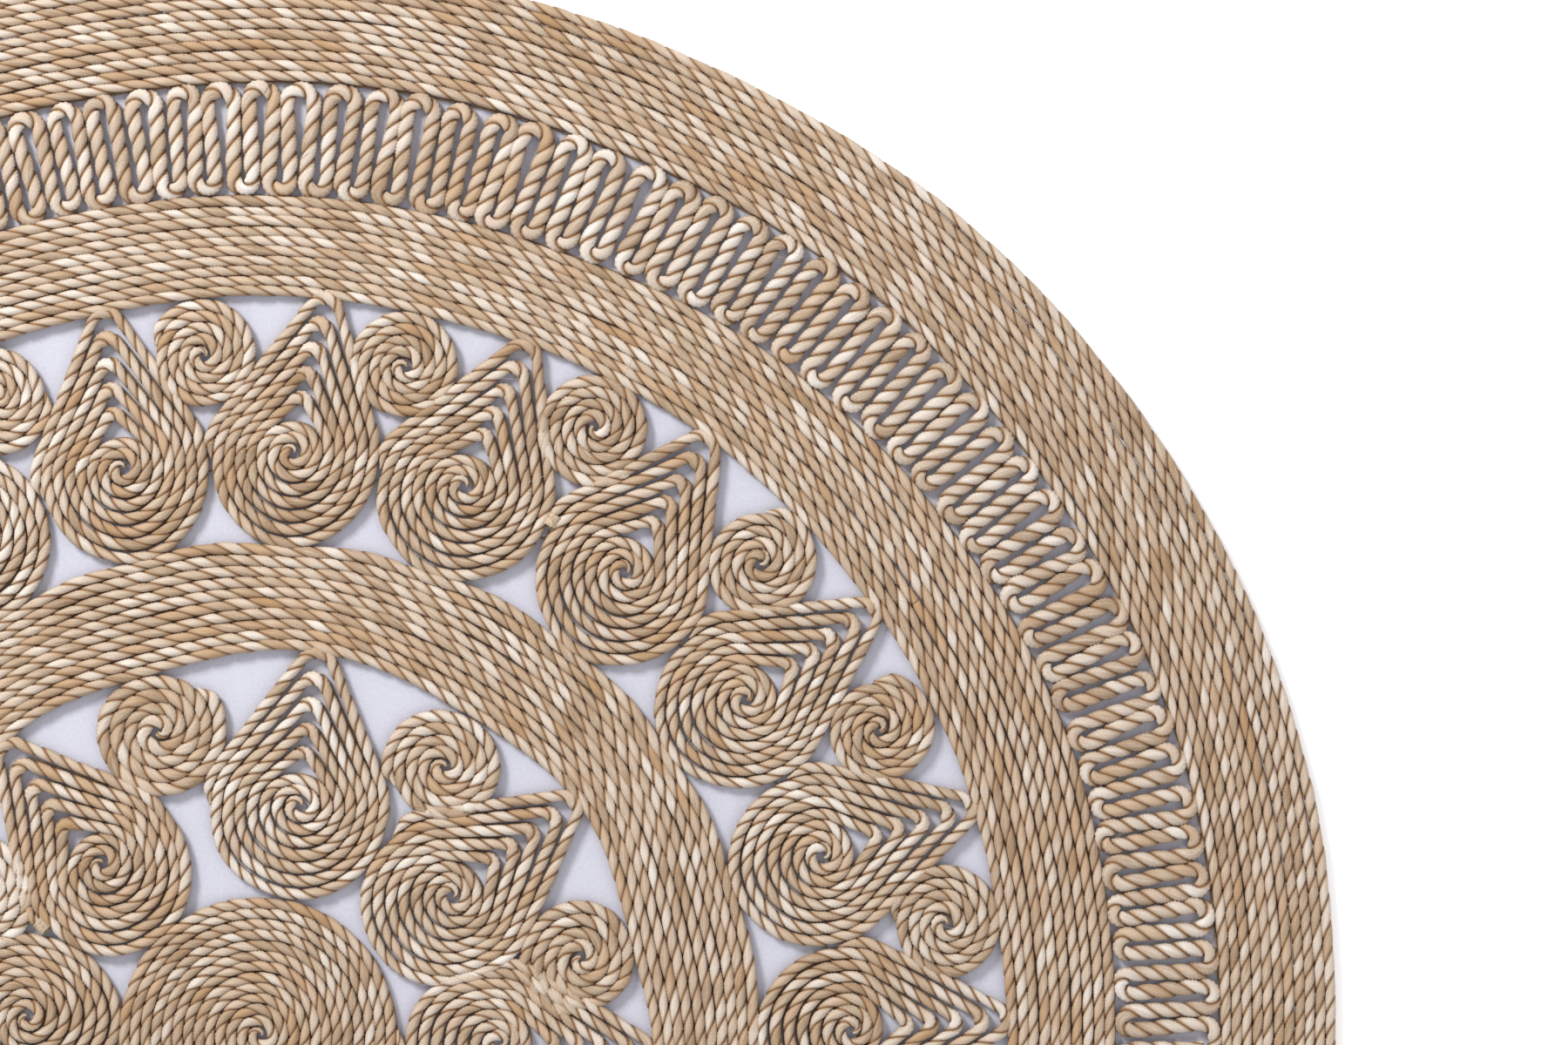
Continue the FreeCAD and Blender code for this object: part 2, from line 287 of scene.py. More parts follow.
def folded_course(inner_radius, outer_radius, rng):
    """One rope folded back and forth, no two folds quite alike."""
    half = FOLDED_WIDTH / 2
    step = 360.0 / FOLDS
    outer_bend = (outer_radius * math.radians(step) - FOLDED_WIDTH) / 2
    inner_bend = (inner_radius * math.radians(step) - FOLDED_WIDTH) / 2
    centres, radii, ways = [], [], []
    for fold in range(FOLDS):
        for inwards in (False, True):
            bend = inner_bend if inwards else outer_bend
            bend *= rng.uniform(0.84, 1.03)
            direction = (fold + 0.5 * inwards + rng.uniform(-0.07, 0.07)) * step
            if inwards:
                radius = inner_radius + half + bend + rng.uniform(-0.0016, 0.0004)
            else:
                radius = outer_radius - half - bend + rng.uniform(-0.0004, 0.0016)
            centres.append(polar(radius, direction))
            radii.append(bend)
            ways.append(-1 if inwards else 1)
    # The last leg comes back to the first fold.
    centres.append(centres[0])
    radii.append(radii[0])
    ways.append(1)
    # Each leg runs from the side of one bend to the other side of the next.
    headings = []
    for here, there, r1, r2, way in zip(centres[:-1], centres[1:], radii[:-1], radii[1:], ways[:-1]):
        gap = there - here
        lean = math.asin((r1 + r2) / np.hypot(*gap))
        headings.append(math.degrees(math.atan2(gap[1], gap[0]) + way * lean))
    points = []
    arriving = headings[0] - 180.0
    for centre, radius, way, heading in zip(centres, radii, ways, headings):
        turned = (heading - arriving) * way % 360.0
        side = -90.0 * way
        angles = arriving + side + way * np.linspace(0, turned, 13)
        bend = np.stack([np.cos(np.radians(angles)), np.sin(np.radians(angles))], 1) * radius
        points.append(centre + bend)
        arriving = heading
    points.append(points[0][:1])
    return np.concatenate(points)


def place(points, radius, direction):
    """Carries a coil out from the centre, its own +Y pointing away from it."""
    return turned_by(points + np.array([0, radius]), math.radians(direction - 90))


# ---- pieces ----

def ring_quads(count, sides):
    """The faces between rings of points, as the numbers of their corners."""
    ring = np.arange(count - 1)[:, None]
    side = np.arange(sides)[None, :]
    after = (side + 1) % sides
    quads = np.stack([ring * sides + side, ring * sides + after,
                      (ring + 1) * sides + after, (ring + 1) * sides + side], 2)
    return quads.reshape(-1, 4)


def set_layout(mesh, spots):
    """Where each corner of a mesh lies on its exported surface."""
    layout = mesh.uv_layers.new(name="OFBake")
    layout.data.foreach_set("uv", spots.astype(np.float32).ravel())


def in_scene(name, mesh):
    made = bpy.data.objects.new(name, mesh)
    bpy.context.scene.collection.objects.link(made)
    return made


def finish_piece(piece, material, nodes):
    """Gives a piece its material, sets it on the body it rides on, and hides the CAD nodes it stands for.
    """
    piece.data.materials.append(material)
    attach(piece, "root")
    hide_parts(*nodes)


# ---- rope meshes ----

class Rope:
    """Rings of a two-ply rope along a course, and what its material reads."""

    def __init__(self, course, width, lay, rng, crease=CREASE, plump=PLUMP, thinning=THINNING,
                 tone=0.0, opening=0.0):
        points, s = resample(wander(course), RING_STEP)
        tangent = np.gradient(points, axis=0)
        tangent /= np.hypot(*tangent.T)[:, None]
        left = np.stack([-tangent[:, 1], tangent[:, 0]], 1)

        # Both ends thin out; the last one lies in against the turn before it, and the first one of
        # a band lies out against the row after it.
        start = 0.35 + 0.65 * ease(s / thinning)
        end = 0.30 + 0.70 * ease((s[-1] - s) / thinning)
        inwards = (1 - end) - (1 - start) * (thinning > THINNING)
        sway = 0.0004 * smooth_noise(s, 0.035, rng) + inwards * width / 2
        points = points + left * sway[:, None]

        pace = 1 + 0.15 * smooth_noise(s, 0.09, rng)
        turned = rng.uniform(0, TAU) + np.cumsum(np.gradient(s) * pace) * TAU / lay
        own = np.arange(SIDES) * TAU / SIDES
        angle = turned[:, None] + own[None, :]
        cos, sin = np.cos(angle), np.sin(angle)
        square = (np.abs(cos) ** PRESSED + np.abs(sin) ** PRESSED) ** (-1 / PRESSED)
        lobe = 1 - crease * (1 - np.abs(np.cos(own))) ** plump

        first_ply = 0.5 + 0.5 * np.clip(np.cos(own) * 3, -1, 1)

        def each(period):
            """Noise of its own for either ply."""
            one, other = smooth_noise(s, period, rng), smooth_noise(s, period, rng)
            return one[:, None] * first_ply + other[:, None] * (1 - first_ply)

        def grains():
            """A value of its own for each stretch of a ply that comes to the top."""
            both = []
            for quarter in (0.25, 0.75):
                number = np.floor(turned / TAU + quarter).astype(int)
                both.append(rng.uniform(-1, 1, number[-1] + 1)[number][:, None])
            return both[0] * first_ply + both[1] * (1 - first_ply)

        # Where the course is bent round a tip, the rope opens out.
        bend = np.abs(np.gradient(np.unwrap(np.arctan2(tangent[:, 1], tangent[:, 0])))) / RING_STEP
        bend = np.convolve(np.pad(bend, 4, "edge"), np.ones(9) / 9, "valid")
        tight = opening * ease((bend - 55) / 60) * ease((s - 0.15) / 0.10)
        swell = 1 + 0.05 * smooth_noise(s, 0.016, rng)[:, None] + 0.08 * each(0.011) + tight[:, None]
        swell *= (start * end)[:, None]
        side = width / 2 * lobe ** 0.8 * square * swell * cos
        reach = ROPE_HEIGHT / 2 * lobe * square * np.minimum(swell, 1.08) * sin
        up = reach + ROPE_HEIGHT / 2 + 0.0004 * smooth_noise(s, 0.05, rng)[:, None]
        self.points = np.empty((len(points), SIDES, 3))
        self.points[:, :, 0] = points[:, 0, None] + left[:, 0, None] * side
        self.points[:, :, 1] = points[:, 1, None] + left[:, 1, None] * side
        self.points[:, :, 2] = np.maximum(up, 0.0002 + 0.0001 * sin)

        # Fibres lie nearly along the rope, as the plies are spun against its lay.
        fibre = own[None, :] + 0.62 * turned[:, None]
        along = np.broadcast_to(s[:, None] / 0.1, fibre.shape)
        self.fibre = np.stack([np.cos(fibre), np.sin(fibre), along], 2)
        self.fibre[:, :, 2] += rng.uniform(0, 400)
        tones = 0.75 * grains() + 0.3 * each(0.012) + 0.3 * smooth_noise(s, 0.16, rng)[:, None] + tone
        hues = 1.0 * grains() + 0.4 * each(0.013) + 0.8 * smooth_noise(s, 0.30, rng)[:, None]
        # Painted shade: this share falls towards 0 in the crease between the plies and low on the rope's
        # flanks, where shade falls; the material paints those places browner.
        unshaded_share = np.abs(np.cos(own)) ** 0.7 * ease((self.points[:, :, 2] / ROPE_HEIGHT - 0.32) / 0.50)
        self.shade = np.stack([0.5 + 0.32 * tones, 0.5 + 0.31 * hues, unshaded_share], 2)

    def piece(self, name, first=0, last=None):
        """A closed mesh of the rings from first to last."""
        last = len(self.points) - 1 if last is None else last
        rings = self.points[first:last + 1]
        count = len(rings)
        ends = np.stack([rings[0].mean(0), rings[-1].mean(0)])
        points = np.concatenate([rings.reshape(-1, 3), ends])

        quads = ring_quads(count, SIDES)
        side = np.arange(SIDES)
        after = (side + 1) % SIDES
        top = (count - 1) * SIDES
        cap_a = np.stack([after, side, np.full(SIDES, count * SIDES)], 1)
        cap_b = np.stack([top + side, top + after, np.full(SIDES, count * SIDES + 1)], 1)
        caps = np.concatenate([cap_a, cap_b])

        mesh = bpy.data.meshes.new(name)
        mesh.vertices.add(len(points))
        mesh.vertices.foreach_set("co", points.astype(np.float32).ravel())
        corners = np.concatenate([quads.ravel(), caps.ravel()]).astype(np.int32)
        starts = np.concatenate([np.arange(len(quads)) * 4, len(quads) * 4 + np.arange(len(caps)) * 3])
        mesh.loops.add(len(corners))
        mesh.loops.foreach_set("vertex_index", corners)
        mesh.polygons.add(len(starts))
        mesh.polygons.foreach_set("loop_start", starts.astype(np.int32))
        mesh.update(calc_edges=True)
        mesh.polygons.foreach_set("use_smooth", np.ones(len(starts), bool))

        self.mark_grooves(mesh, count)
        self.store(mesh, "fibre", self.fibre[first:last + 1])
        self.store(mesh, "shade", self.shade[first:last + 1])
        self.lay_out(mesh, count, len(caps))
        return in_scene(name, mesh)

    def mark_grooves(self, mesh, count):
        """The two plies meet in a crease, so their shading doesn't run together."""
        pairs = np.empty(len(mesh.edges) * 2, np.int32)
        mesh.edges.foreach_get("vertices", pairs)
        pairs = pairs.reshape(-1, 2)
        spots = pairs % SIDES
        groove = (spots[:, 0] == spots[:, 1]) & (spots[:, 0] % (SIDES // 2) == SIDES // 4)
        groove &= (pairs < count * SIDES).all(1)
        mark = mesh.attributes.new("sharp_edge", "BOOLEAN", "EDGE")
        mark.data.foreach_set("value", groove)

    def store(self, mesh, name, values):
        """Keeps a value of every point, for the material."""
        ends = np.stack([values[0].mean(0), values[-1].mean(0)])
        values = np.concatenate([values.reshape(-1, 3), ends])
        attribute = mesh.attributes.new(name, "FLOAT_VECTOR", "POINT")
        attribute.data.foreach_set("vector", values.astype(np.float32).ravel())

    def lay_out(self, mesh, count, caps):
        """Unrolls the rope into strips side by side, for the exported surface."""
        around = 0.027      # the way round a rope
        length = RING_STEP * (count - 1)
        columns = max(1, int(round(math.sqrt(length / around))))
        tall = -(-(count - 1) // columns)
        ring = np.arange(count - 1)
        column, row = ring // tall, ring % tall
        side = np.arange(SIDES)
        u0 = (column[:, None] + 0.04 + 0.92 * side[None, :] / SIDES) / columns
        u1 = (column[:, None] + 0.04 + 0.92 * (side[None, :] + 1) / SIDES) / columns
        v0 = np.broadcast_to((0.005 + 0.99 * row / tall)[:, None], u0.shape)
        v1 = np.broadcast_to((0.005 + 0.99 * (row + 1) / tall)[:, None], u0.shape)
        quads = np.stack([u0, v0, u1, v0, u1, v1, u0, v1], 2).reshape(-1, 2)
        corner = np.array([[0.0, 0.0], [0.002, 0.0], [0.001, 0.002]])
        set_layout(mesh, np.concatenate([quads, np.tile(corner, (caps, 1))]))


# ---- thin threads: sewing twine, wrapped rope ends, stray fibres ----

def tube(points, radius, sides=5):
    """Rings round a line in space; the radius may change along it."""
    tangent = np.gradient(points, axis=0)
    tangent /= np.linalg.norm(tangent, axis=1)[:, None] + 1e-12
    across = np.cross(tangent, [0, 0, 1.0])
    flat = np.linalg.norm(across, axis=1)
    across[flat < 1e-3] = [1, 0, 0]
    across /= np.linalg.norm(across, axis=1)[:, None]
    over = np.cross(across, tangent)
    angle = np.arange(sides) * TAU / sides
    radius = np.broadcast_to(radius, len(points))
    ring = across[:, None] * np.cos(angle)[None, :, None] + over[:, None] * np.sin(angle)[None, :, None]
    return points[:, None] + ring * radius[:, None, None]


def thread_piece(name, tubes, material, nodes):
    """One piece made of many separate tubes; each has its own cell of the exported surface."""
    points, faces, spots = [], [], []
    base = 0
    cells = math.ceil(math.sqrt(len(tubes)))
    for number, rings in enumerate(tubes):
        count, sides = rings.shape[:2]
        points.append(rings.reshape(-1, 3))
        faces.append(ring_quads(count, sides) + base)
        corner = np.array([number % cells, number // cells]) / cells
        ring = np.arange(count - 1)[:, None]
        side = np.arange(sides)[None, :]
        low, high = ring / (count - 1) + 0 * side, (ring + 1) / (count - 1) + 0 * side
        left, right = side / sides + 0 * ring, (side + 1) / sides + 0 * ring
        cell = np.stack([left, low, right, low, right, high, left, high], 2).reshape(-1, 2)
        spots.append(corner + cell * 0.9 / cells)
        base += count * sides
    mesh = bpy.data.meshes.new(name)
    mesh.from_pydata(np.concatenate(points).tolist(), [], np.concatenate(faces).tolist())
    set_layout(mesh, np.concatenate(spots))
    mesh.polygons.foreach_set("use_smooth", np.ones(len(mesh.polygons), bool))
    finish_piece(in_scene(name, mesh), material, nodes)


def groove_line(course, pitch):
    """The line of the groove between each turn of a coil and the next."""
    points, _ = resample(course, 0.004)
    tangent = np.gradient(points, axis=0)
    heading = np.unwrap(np.arctan2(tangent[:, 1], tangent[:, 0]))
    right = np.stack([np.sin(heading), -np.cos(heading)], 1)
    inside = heading <= heading[-1] - TAU
    line = wander((points + right * pitch / 2)[inside])
    return np.column_stack([line, np.full(len(line), TWINE_LEVEL)])


def carried(node, share=1.0):
    """The CAD twine of a node, drawn in or out by a share and moved with the ropes above it."""
    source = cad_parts[node].data
    points = np.empty(len(source.vertices) * 3, np.float32)
    source.vertices.foreach_get("co", points)
    points = points.reshape(-1, 3).astype(float)
    points[:, :2] = wander(points[:, :2] * share)
    mesh = bpy.data.meshes.new(node + "_laid")
    faces = [tuple(face.vertices) for face in source.polygons]
    mesh.from_pydata(points.tolist(), [], faces)
    corners = np.empty(len(mesh.loops), np.int32)
    mesh.loops.foreach_get("vertex_index", corners)
    set_layout(mesh, points[corners, :2] / (2.05 * RUG_RADIUS) + 0.5)
    finish_piece(in_scene(node + "_laid", mesh), TWINE, [node])


# ---- materials ----

def new_material(name):
    material = bpy.data.materials.new(name)
    material.use_nodes = True
    nodes, links = material.node_tree.nodes, material.node_tree.links
    shader = nodes["Principled BSDF"]
    return material, nodes, links, shader


def ramp(nodes, stops):
    made = nodes.new("ShaderNodeValToRGB")
    elements = made.color_ramp.elements
    while len(elements) < len(stops):
        elements.new(0.5)
    for element, (position, colour) in zip(elements, stops):
        element.position = position
        element.color = (*colour, 1)
    return made


def math_node(nodes, links, operation, first, second, third=None):
    """A Math node; each input is a number or another node's output."""
    made = nodes.new("ShaderNodeMath")
    made.operation = operation
    for socket, value in zip(made.inputs, (first, second, third)):
        if isinstance(value, bpy.types.NodeSocket):
            links.new(value, socket)
        elif value is not None:
            socket.default_value = value
    return made.outputs[0]


def spread(nodes, links, value, low, high, bottom=0.0, top=1.0):
    """A Map Range node from low..high to bottom..top."""
    made = nodes.new("ShaderNodeMapRange")
    made.inputs["From Min"].default_value = low
    made.inputs["From Max"].default_value = high
    made.inputs["To Min"].default_value = bottom
    made.inputs["To Max"].default_value = top
    links.new(value, made.inputs["Value"])
    return made.outputs["Result"]


def blend(nodes, links, share, first, second):
    """A colour mix; the two colours are outputs or plain colours."""
    made = nodes.new("ShaderNodeMix")
    made.data_type = "RGBA"
    links.new(share, made.inputs["Factor"])
    for socket, colour in ((made.inputs["A"], first), (made.inputs["B"], second)):
        if isinstance(colour, bpy.types.NodeSocket):
            links.new(colour, socket)
        else:
            socket.default_value = (*colour, 1)
    return made.outputs["Result"]


def noise(nodes, links, vector, scale, detail, roughness=0.5):
    made = nodes.new("ShaderNodeTexNoise")
    made.inputs["Scale"].default_value = scale
    made.inputs["Detail"].default_value = detail
    made.inputs["Roughness"].default_value = roughness
    links.new(vector, made.inputs["Vector"])
    return made.outputs["Fac"]


def jute(name, dark, mid, light, warm, edge):
    """Twisted jute: a tone for each stretch of a ply, warm patches, fibres, and painted shade on the flanks
    and in the creases.
    """
    material, nodes, links, shader = new_material(name)
    shade = nodes.new("ShaderNodeAttribute")
    shade.attribute_name = "shade"
    split = nodes.new("ShaderNodeSeparateXYZ")
    links.new(shade.outputs["Vector"], split.inputs[0])
    tone, hue, unshaded_share = split.outputs
    fibre = nodes.new("ShaderNodeAttribute")
    fibre.attribute_name = "fibre"
    strands = noise(nodes, links, fibre.outputs["Vector"], 8.0, 4.0, 0.7)
    blotches = noise(nodes, links, fibre.outputs["Vector"], 2.2, 2.0)

    # Tone of the ply, with fibres and blotches laid over it.
    mixed = math_node(nodes, links, "MULTIPLY_ADD", strands, 1.00, tone)
    mixed = math_node(nodes, links, "MULTIPLY_ADD", blotches, 0.45, mixed)
    tones = ramp(nodes, [(0.0, dark), (0.45, mid), (1.0, light)])
    links.new(spread(nodes, links, mixed, 0.78, 1.68), tones.inputs["Fac"])
    warmth = spread(nodes, links, hue, 0.58, 0.95, 0.0, 0.55)
    warmed = blend(nodes, links, warmth, tones.outputs["Color"], warm)

    # Painted shade: the low flanks of each ply are painted browner, and its creases deep brown.
    flank_shaded = blend(nodes, links, spread(nodes, links, unshaded_share, 0.15, 0.75), edge, warmed)
    crease_shaded = blend(nodes, links, spread(nodes, links, unshaded_share, 0.0, 0.30), PAINTED_CREASE_SHADE, flank_shaded)
    links.new(crease_shaded, shader.inputs["Base Color"])

    bump = nodes.new("ShaderNodeBump")
    bump.inputs["Strength"].default_value = 0.5
    bump.inputs["Distance"].default_value = 0.0006
    links.new(strands, bump.inputs["Height"])
    links.new(bump.outputs["Normal"], shader.inputs["Normal"])
    shader.inputs["Roughness"].default_value = 0.62
    shader.inputs["Specular IOR Level"].default_value = 0.35
    shader.inputs["Sheen Weight"].default_value = 0.15
    shader.inputs["Sheen Roughness"].default_value = 0.45
    return material


def twine_material(name, dark, light):
    """Thin jute twine, mottled by its own lay."""
    material, nodes, links, shader = new_material(name)
    place_in = nodes.new("ShaderNodeTexCoord")
    lay = noise(nodes, links, place_in.outputs["Object"], 700.0, 2.0)
    tones = ramp(nodes, [(0.3, dark), (0.7, light)])
    links.new(lay, tones.inputs["Fac"])
    links.new(tones.outputs["Color"], shader.inputs["Base Color"])
    bump = nodes.new("ShaderNodeBump")
    bump.inputs["Strength"].default_value = 0.5
    bump.inputs["Distance"].default_value = 0.0004
    links.new(lay, bump.inputs["Height"])
    links.new(bump.outputs["Normal"], shader.inputs["Normal"])
    shader.inputs["Roughness"].default_value = 0.85
    return material


# ---- building ----

# Painted shade: the first colour is painted into the creases between the plies, and each jute material's
# edge colour onto the low flanks of its plies.
PAINTED_CREASE_SHADE = (0.21, 0.105, 0.045)
ROPE = jute("jute_rope", dark=(0.320, 0.200, 0.105), mid=(0.605, 0.470, 0.345),
            light=(0.860, 0.800, 0.730), warm=(0.52, 0.29, 0.12), edge=(0.43, 0.275, 0.155))
FOLDED = jute("jute_folded", dark=(0.36, 0.235, 0.135), mid=(0.650, 0.530, 0.420),
              light=(0.890, 0.855, 0.810), warm=(0.55, 0.34, 0.17), edge=(0.42, 0.27, 0.15))
TWINE = twine_material("jute_twine", dark=(0.20, 0.11, 0.05), light=(0.46, 0.32, 0.19))
FUZZ = twine_material("jute_fuzz", dark=(0.44, 0.31, 0.19), light=(0.76, 0.64, 0.48))
fibre_spots = []            # points on the ropes, where stray fibres may lie


def stretches(rope, pieces):
    """The first and last ring of each of a rope's pieces."""
    cuts = np.linspace(0, len(rope.points) - 1, pieces + 1).round().astype(int)
    return zip(cuts[:-1], cuts[1:])


def build_band(name, outer_radius, pitch, rows, pieces, seed):
    """One rope laid round and round, as a few pieces end to end."""
    rng = np.random.default_rng(seed)
    first = outer_radius - (pitch - ROPE_GAP) / 2 - (rows - 1) * pitch
    course = band_course(first, pitch, rows, rng)
    rope = Rope(course, pitch * FULLNESS, ROW_LAY, rng, thinning=BAND_THINNING)
    fibre_spots.append(rope.points[:, 0])
    for part, (first, last) in enumerate(stretches(rope, pieces)):
        piece = rope.piece("%s_rope_%d" % (name, part + 1), first, last)
        finish_piece(piece, ROPE, [name])
    carried(name + "_seam")


def build_folded_ring():
    """One rope folded back and forth between the border and the middle band."""
    rng = np.random.default_rng(7)
    outside = RUG_RADIUS - BORDER_ROWS * BORDER_PITCH
    course = folded_course(MIDDLE_RADIUS, outside, rng)
    rope = Rope(course, FOLDED_WIDTH * FOLDED_FULLNESS, FOLDED_LAY, rng, FOLDED_CREASE, FOLDED_PLUMP)
    fibre_spots.append(rope.points[:, 0])
    for part, (first, last) in enumerate(stretches(rope, FOLDED_PIECES)):
        piece = rope.piece("folded_rope_%d" % (part + 1), first, last)
        finish_piece(piece, FOLDED, ["folded_ring"])
    carried("folded_ring_outer_seam")
    carried("folded_ring_inner_seam")


def wrap_round_end(course, rng):
    """Fibre wound round the tucked end of a coil's rope."""
    points, _ = resample(course, 0.0003)
    last = points[-34:-4]
    turns = np.linspace(0, TAU * WRAP_TURNS, 160)
    spot = np.linspace(0, len(last) - 1, len(turns))
    x = np.interp(spot, np.arange(len(last)), last[:, 0])
    y = np.interp(spot, np.arange(len(last)), last[:, 1])
    heading = last[-1] - last[0]
    heading = heading / np.hypot(*heading)
    left = np.array([-heading[1], heading[0]])
    side = (0.0044 + 0.0002 * rng.uniform(-1, 1)) * np.cos(turns) + 0.0018
    up = 0.0052 + 0.0050 * np.sin(turns)
    line = np.column_stack([x + left[0] * side, y + left[1] * side, up])
    line[:, :2] = wander(line[:, :2])
    line[:, 2] = np.maximum(line[:, 2], 0.0012)
    return tube(line, WRAP_THICK)


def ties(hearts):
    """A short stitch below each place where two neighbouring coils touch."""
    made = []
    for here, there in zip(hearts, hearts[1:] + hearts[:1]):
        gap = np.hypot(*(there - here))
        if gap > TOUCHING:
            continue
        across = (there - here) / gap
        line = wander((here + there) / 2 + across * np.linspace(-0.005, 0.005, 9)[:, None])
        made.append(tube(np.column_stack([line, np.full(9, TWINE_LEVEL)]), TWINE_THICK))
    return made


def build_pointed(ring, number, direction, rng):
    """One pointed coil; gives back its course."""
    course = pointed_course(ring.shortening) * POINTED_SIZE
    lean = ring.leans[number] if number < len(ring.leans) else rng.uniform(-0.06, 0.06)
    course[:, 0] += lean * np.maximum(course[:, 1], 0) ** 1.5 / LEAN_HEIGHT ** 0.5
    course = place(course, ring.radius, direction)
    rope = Rope(course, POINTED_PITCH * POINTED_FULLNESS, COIL_LAY, rng,
                tone=rng.uniform(-0.10, 0.45), opening=TIP_SWELL)
    fibre_spots.append(rope.points[:, 0])
    piece = rope.piece("%s_pointed_%02d" % (ring.name, number + 1))
    finish_piece(piece, ROPE, ["%s_pointed_coil_%02d" % (ring.name, number + 1)])
    return course


def build_round(ring, number, direction, rng):
    """One round coil; gives back its course."""
    size = ring.round_sizes[number] if ring.round_sizes else rng.uniform(1.03, 1.09)
    course = round_course(ROUND_PITCH * size, ROUND_HALF_TURNS)
    course = turned_by(course, rng.uniform(0, TAU))
    course = place(course, ring.round_radius, direction)
    rope = Rope(course, ROUND_PITCH * FULLNESS * size, COIL_LAY, rng, tone=rng.uniform(-0.25, 0.40))
    fibre_spots.append(rope.points[:, 0])
    piece = rope.piece("%s_round_%02d" % (ring.name, number + 1))
    finish_piece(piece, ROPE, [ring.round_nodes[number]])
    return course


def build_ring(ring):
    """A ring of pointed coils, with a round coil between each two and the twine below them."""
    grooves, round_grooves, wraps, hearts = [], [], [], []
    for number in range(ring.count):
        rng = np.random.default_rng(ring.seed + number)
        even = ring.start + 360.0 * number / ring.count
        direction = even + ring.shifts[number]
        course = build_pointed(ring, number, direction, rng)
        hearts.append(polar(ring.radius, direction))
        grooves.append(tube(groove_line(course, POINTED_PITCH), TWINE_THICK))
        if number % WRAPPED_EVERY == WRAPPED_EVERY // 2:
            wraps.append(wrap_round_end(course, rng))

        direction = even + 180.0 / ring.count + ring.round_turn + ring.round_shifts[number]
        course = build_round(ring, number, direction, rng)
        round_grooves.append(tube(groove_line(course, ROUND_PITCH), TWINE_THICK))
    thread_piece(ring.name + "_pointed_twine", grooves, TWINE, [ring.name + "_pointed_seams"])
    thread_piece(ring.name + "_end_wraps", wraps, FUZZ, [])
    thread_piece(ring.name + "_round_twine", round_grooves, TWINE, [ring.name + "_round_seams"])
    thread_piece(ring.name + "_ties_laid", ties(hearts), TWINE, [ring.name + "_ring_ties"])
    carried(ring.name + "_ring_outer_seam", OUTER_SEAM_SHARE)
    carried(ring.name + "_ring_inner_seam", ring.seam_share)


def build_centre():
    rng = np.random.default_rng(61)
    course = round_course(CENTRE_PITCH, CENTRE_HALF_TURNS)
    rope = Rope(course, CENTRE_PITCH * FULLNESS, COIL_LAY, rng, tone=-0.1)
    fibre_spots.append(rope.points[:, 0])
    finish_piece(rope.piece("centre"), ROPE, ["centre_coil"])
    carried("centre_coil_seam")


def build_stray_fibres(count):
    """Loose ends of fibre that stand off the ropes."""
    rng = np.random.default_rng(99)
    spots = np.concatenate(fibre_spots)
    fibres = []
    for spot in spots[rng.integers(0, len(spots), count)]:
        length = rng.uniform(0.006, 0.026)
        heading = rng.uniform(0, TAU) + rng.uniform(-1.2, 1.2) * np.linspace(0, 1, 8)
        step = np.stack([np.cos(heading), np.sin(heading)], 1) * length / 8
        line = np.empty((8, 3))
        line[:, :2] = spot[:2] + np.cumsum(step, axis=0)
        line[:, 2] = ROPE_HEIGHT - 0.0014 + rng.uniform(0.0005, 0.0035) * np.linspace(0, 1, 8)
        fibres.append(tube(line, np.linspace(0.00016, 0.00006, 8), 3))
    thread_piece("stray_fibres", fibres, FUZZ, [])


def light(name, size, power, at, colour):
    lamp = bpy.data.lights.new(name, "AREA")
    lamp.size = size
    lamp.energy = power
    lamp.color = colour
    made = bpy.data.objects.new(name, lamp)
    made.location = at
    made.rotation_euler = (Vector((VIEW_X, VIEW_Y, 0)) - Vector(at)).to_track_quat("-Z", "Y").to_euler()
    bpy.context.scene.collection.objects.link(made)


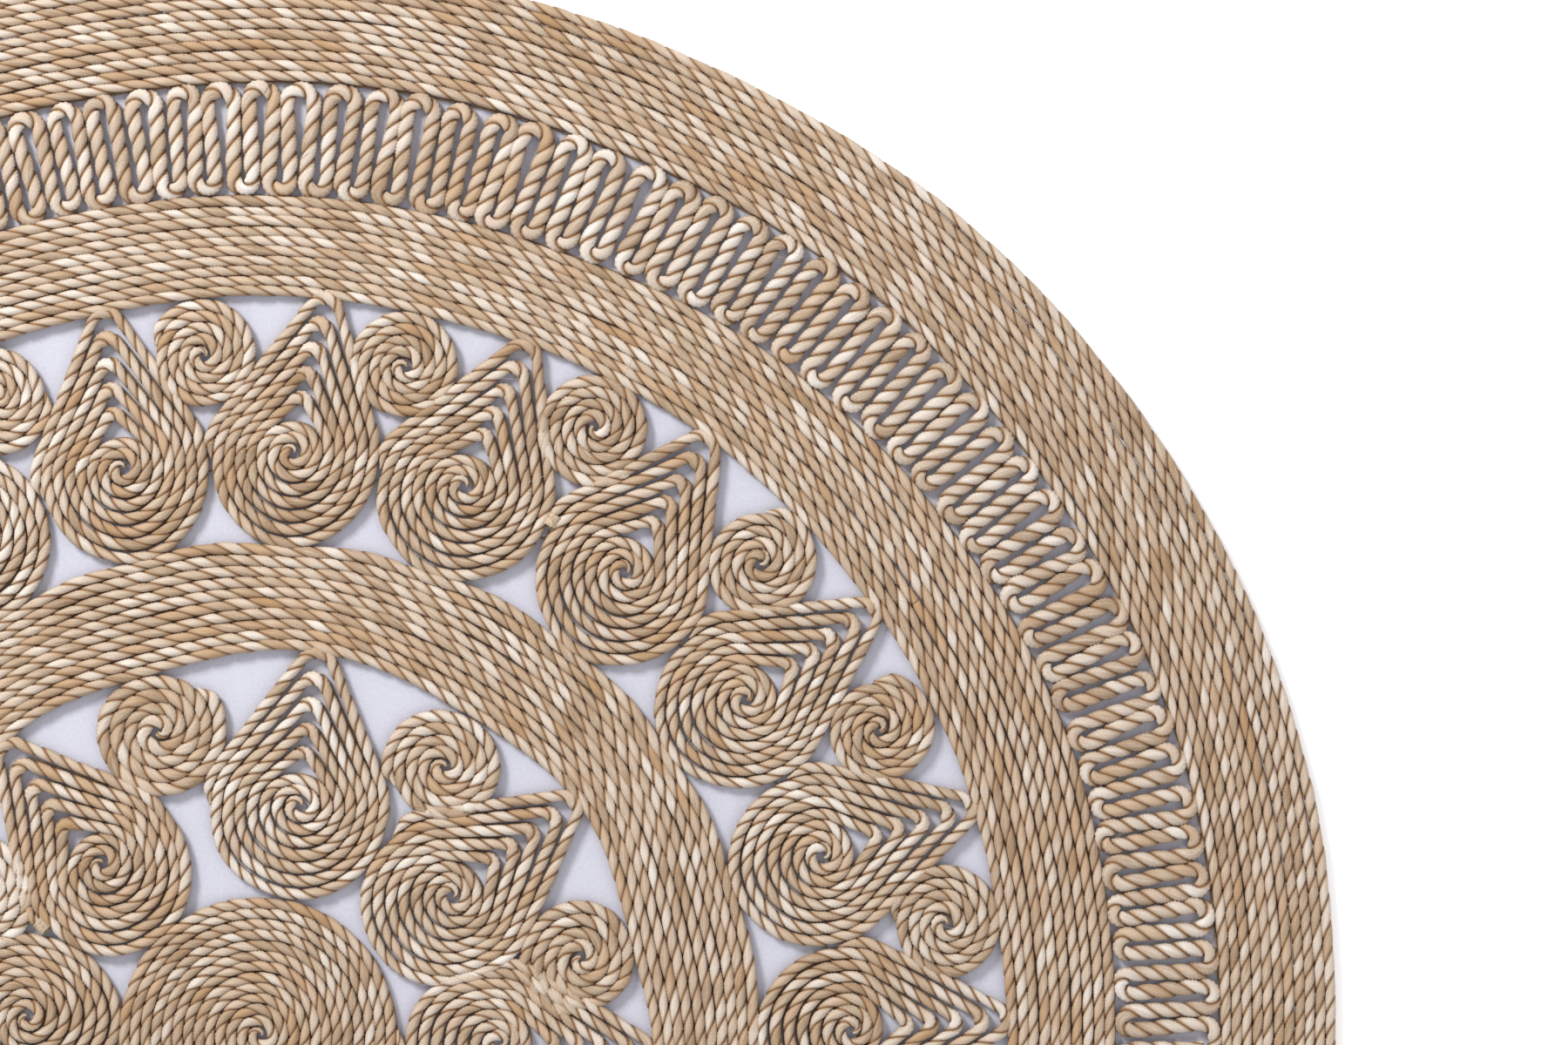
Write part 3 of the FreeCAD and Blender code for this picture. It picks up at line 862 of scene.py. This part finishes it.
def build_stage():
    bpy.ops.mesh.primitive_plane_add(size=14, location=(0, 0, -0.0010))
    floor = bpy.context.object
    floor.name = "floor"
    material, nodes, links, shader = new_material("floor")
    shader.inputs["Base Color"].default_value = (0.97, 0.97, 0.97, 1)
    shader.inputs["Roughness"].default_value = 0.9
    shader.inputs["Emission Color"].default_value = (1.0, 1.0, 1.0, 1)
    shader.inputs["Emission Strength"].default_value = 0.30
    floor.data.materials.append(material)

    # The rug lies on a sheet of pale cloth that shows through its openings.
    bpy.ops.mesh.primitive_circle_add(vertices=256, radius=0.72, fill_type="NGON", location=(0, 0, -0.0005))
    cloth = bpy.context.object
    cloth.name = "cloth"
    material, nodes, links, shader = new_material("cloth")
    place_in = nodes.new("ShaderNodeTexCoord")
    weave = noise(nodes, links, place_in.outputs["Object"], 420.0, 3.0, 0.6)
    tones = ramp(nodes, [(0.2, (0.58, 0.59, 0.69)), (0.8, (0.68, 0.69, 0.79))])
    links.new(weave, tones.inputs["Fac"])
    links.new(tones.outputs["Color"], shader.inputs["Base Color"])
    shader.inputs["Roughness"].default_value = 0.95
    cloth.data.materials.append(material)

    light("key", 0.9, 92, (-1.5, 2.3, 2.3), (1.0, 0.985, 0.955))
    light("fill", 3.0, 26, (2.4, -1.4, 3.2), (0.97, 0.985, 1.0))
    world = bpy.data.worlds.new("studio")
    world.use_nodes = True
    world.node_tree.nodes["Background"].inputs["Color"].default_value = (0.985, 0.98, 1.0, 1)
    world.node_tree.nodes["Background"].inputs["Strength"].default_value = 0.62
    bpy.context.scene.world = world

    camera = bpy.data.cameras.new("camera")
    camera.sensor_width = SENSOR
    camera.lens = SENSOR * VIEW_HEIGHT / VIEW_WIDTH
    made = bpy.data.objects.new("camera", camera)
    made.location = (VIEW_X, VIEW_Y, VIEW_HEIGHT)
    bpy.context.scene.collection.objects.link(made)
    bpy.context.scene.camera = made
    bpy.context.scene.view_settings.view_transform = "Standard"


build_band("border", RUG_RADIUS, BORDER_PITCH, BORDER_ROWS, 4, 1)
build_band("middle_band", MIDDLE_RADIUS, MIDDLE_PITCH, MIDDLE_ROWS, 3, 2)
build_band("inner_band", INNER_BAND_RADIUS, INNER_BAND_PITCH, INNER_BAND_ROWS, 2, 3)
build_folded_ring()
build_ring(OUTER_RING)
build_ring(INNER_RING)
build_centre()
build_stray_fibres(FIBRE_COUNT)
build_stage()
